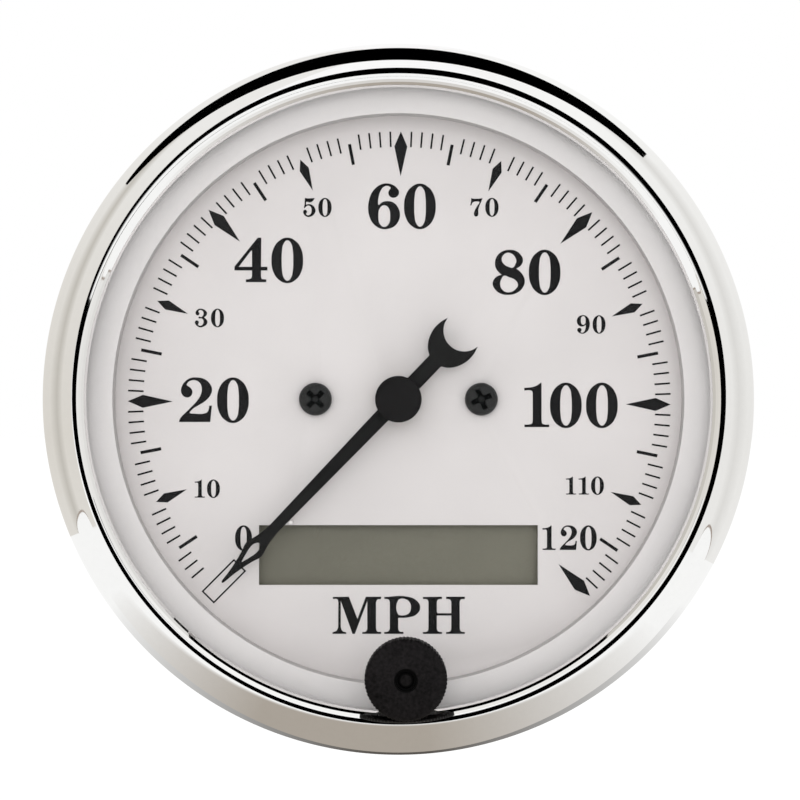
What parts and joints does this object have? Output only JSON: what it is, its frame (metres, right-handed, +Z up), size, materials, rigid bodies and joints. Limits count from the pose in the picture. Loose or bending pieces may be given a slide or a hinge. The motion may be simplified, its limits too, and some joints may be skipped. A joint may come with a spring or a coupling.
{
  "type": "panel speedometer",
  "caption": "Round panel speedometer with a rolled bright bezel, flat glass, pale dial, black pierced pointer, blank display window, trip button and rear mounting studs.",
  "frame": {"origin": "on the spindle's axis, in the plane where the bezel seats on the panel's front", "axes": "+Y from the dial through the panel to the rear, +Z up the dial, +X to the right seen from the front"},
  "size_m": [0.0856, 0.0893, 0.0856],
  "materials": {
    "case_paint": "satin black enamel",
    "bezel_chrome": "polished",
    "lens_glass": "clear flat glass",
    "seal_rubber": "matte",
    "ring_white": "satin warm white",
    "tube_white": "matte white",
    "dial_paint": "fine-grained warm white",
    "black_screw": "black oxide",
    "pointer_black": "matte black",
    "cap_black": "matte black",
    "brass": "turned",
    "steel": "bright plated",
    "magnet": "sintered",
    "alloy": "plain",
    "former_nylon": "natural nylon",
    "copper_wire": "enamelled copper",
    "board_green": "solder mask",
    "black_moulding": "moulded",
    "capacitor_sleeve": "shrunk sleeve",
    "display_glass": "grey-green blank display",
    "plunger_red": "moulded",
    "knob_black": "matte, fine grain",
    "holder_nylon": "moulded",
    "bulb_glass": "clear",
    "lead_red": "insulated"
  },
  "bodies": {
    "housing": {"case": "case_paint", "bezel": "bezel_chrome", "lens": "lens_glass", "lens_gasket": "seal_rubber", "contact_strips": "seal_rubber", "spacer_ring": "ring_white", "light_tube": "tube_white", "lcd_backlight": "tube_white", "dial": "dial_paint", "dial_screws": "black_screw", "zero_stop": "black_screw", "dial_spacers": "brass", "hairspring_stud": "brass", "front_bush": "brass", "rear_bush": "brass", "blade_terminals": "brass", "hairspring": "steel", "flux_can": "steel", "board_screws": "steel", "crystal": "steel", "button_spring": "steel", "mounting_studs": "steel", "stud_washers": "steel", "stud_nuts": "steel", "movement_plate": "alloy", "block_rivets": "alloy", "bobbin_front": "former_nylon", "bobbin_rear": "former_nylon", "inner_coil": "copper_wire", "outer_coil": "copper_wire", "main_board": "board_green", "controller_chip": "black_moulding", "voltage_regulator": "black_moulding", "lcd_frame": "black_moulding", "push_switch": "black_moulding", "terminal_block": "black_moulding", "button_bush": "black_moulding", "capacitors": "capacitor_sleeve", "lcd_glass": "display_glass", "board_leads": "lead_red"},
    "pointer": {"pointer": "pointer_black", "pointer_cap": "cap_black", "pointer_bush": "brass", "spindle": "steel", "rotor_magnet": "magnet", "hairspring_collet": "brass"},
    "trip_button": {"button_knob": "knob_black", "button_rod": "steel", "rod_clip": "steel", "switch_plunger": "plunger_red"},
    "lamp": {"lamp_holder": "holder_nylon", "lamp_bulb": "bulb_glass", "lamp_contacts": "brass"}
  },
  "joints": [
    {"name": "pointer_sweep", "type": "hinge", "parent": "housing", "child": "pointer", "pos_m": [0, 0, 0], "axis": [0, 1, 0], "range_deg": [0, 271.5], "stiffness_Nm_per_rad": 0.000005, "springref_deg": -34.38},
    {"name": "trip_press", "type": "slide", "parent": "housing", "child": "trip_button", "axis": [0, 1, 0], "range_m": [0, 0.001], "stiffness_N_per_m": 250, "springref_m": -0.003, "deforming": ["button_spring"]},
    {"name": "lamp_twist", "type": "hinge", "parent": "housing", "child": "lamp", "pos_m": [0, 0.048, 0.022], "axis": [0, -1, 0], "range_deg": [0, 60]}
  ]
}
